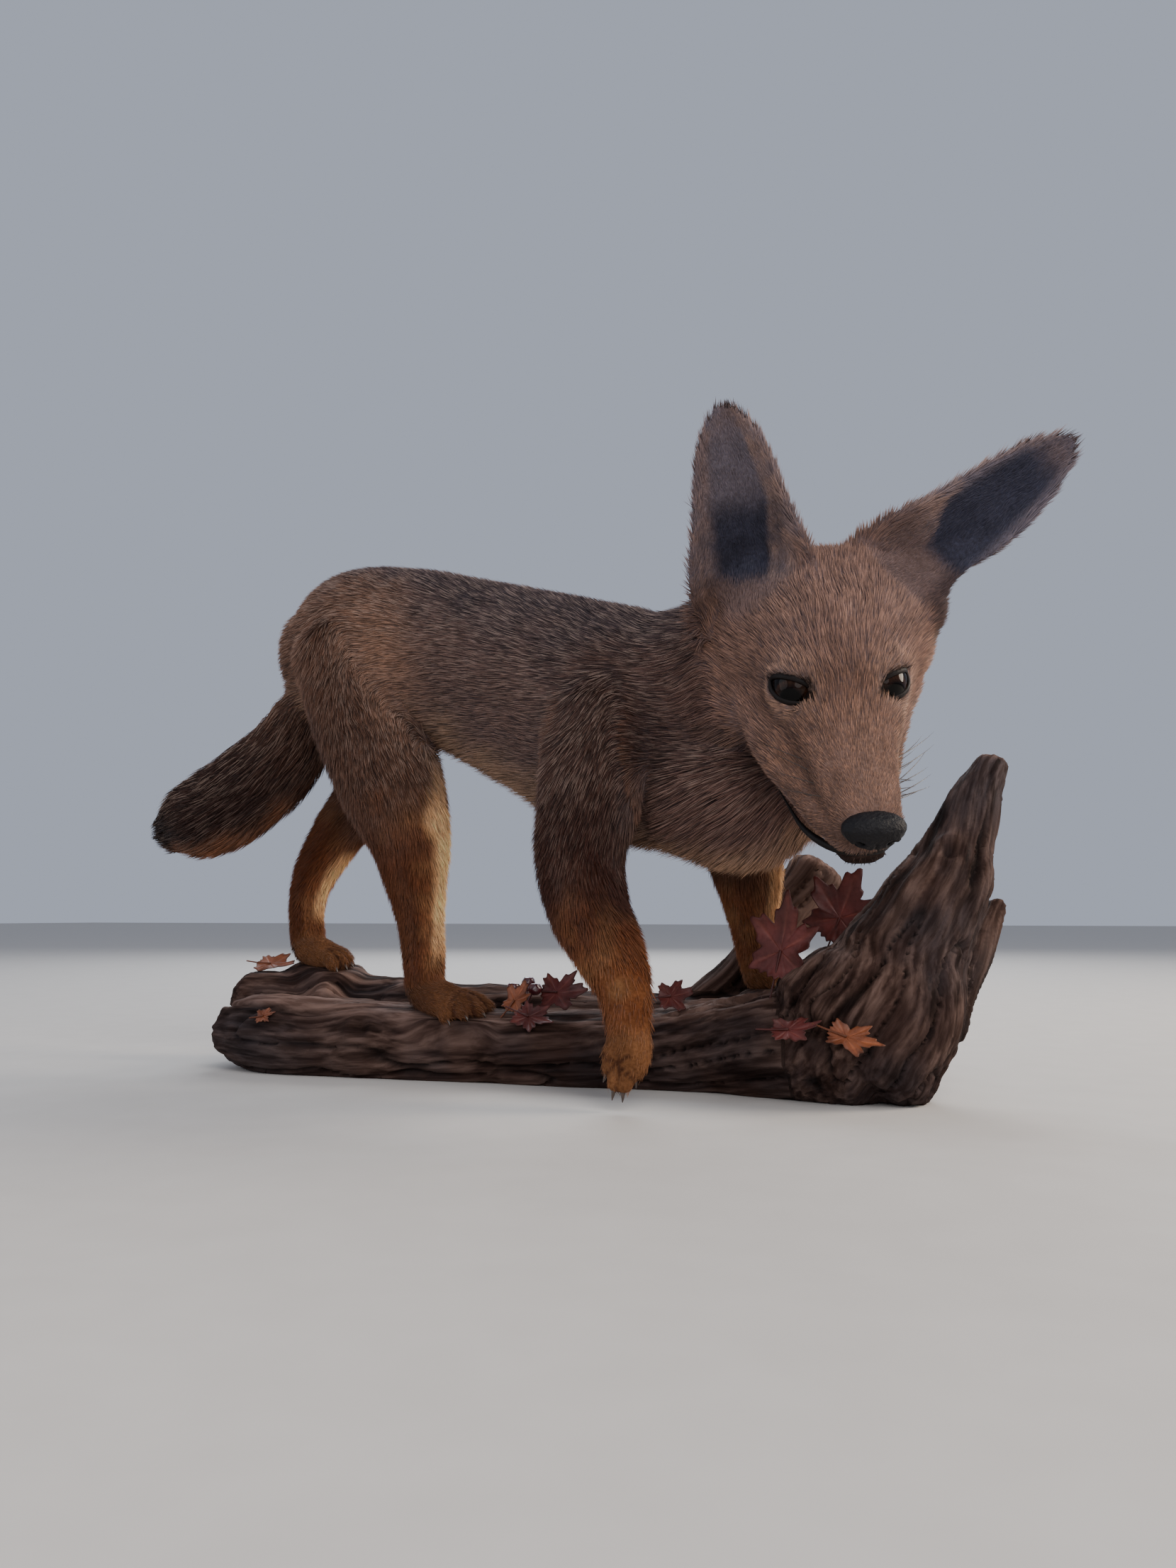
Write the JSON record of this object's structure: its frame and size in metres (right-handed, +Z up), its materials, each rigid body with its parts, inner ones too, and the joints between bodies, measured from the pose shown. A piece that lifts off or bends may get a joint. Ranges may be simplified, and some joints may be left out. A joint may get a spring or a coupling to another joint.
{
  "type": "taxidermy young coyote",
  "caption": "Mounted young coyote stepping down off a weathered driftwood limb, ears up and muzzle lowered, dry leaves at its feet.",
  "frame": {"origin": "on the flat underside of the driftwood, about the middle of its footprint", "axes": "+X along the driftwood towards the animal's front, +Y to the animal's left, +Z up"},
  "size_m": [0.5494, 0.2242, 0.3045],
  "materials": {
    "coat": "grizzled grey-brown fur",
    "leg": "short orange-tan fur",
    "nose": "black pebbled nose leather",
    "eye": "dark brown glass eye",
    "claw": "dark horn claw",
    "wood": "weathered driftwood",
    "leaf": "dry dark red leaf",
    "berry": "glossy dark berry"
  },
  "bodies": {
    "root": {"driftwood": "wood", "eye_left": "eye", "eye_right": "eye", "nose": "nose", "head": "coat", "lower_jaw": "coat", "trunk": "coat", "neck": "coat", "tail": "coat", "ear_left": "coat", "ear_right": "coat", "foot_hind_right": "leg", "foot_hind_left": "leg", "foot_front_right": "leg", "foot_front_left": "leg", "leg_hind_right": "leg", "leg_hind_left": "leg", "leg_front_right": "leg", "leg_front_left": "leg", "leaf_1": "leaf", "leaf_2": "leaf", "leaf_3": "leaf", "leaf_4": "leaf", "leaf_5": "leaf", "leaf_6": "leaf", "leaf_7": "leaf", "leaf_8": "leaf", "leaf_9": "leaf", "leaf_10": "leaf", "berry_1": "berry", "berry_2": "berry", "berry_3": "berry"}
  },
  "joints": []
}
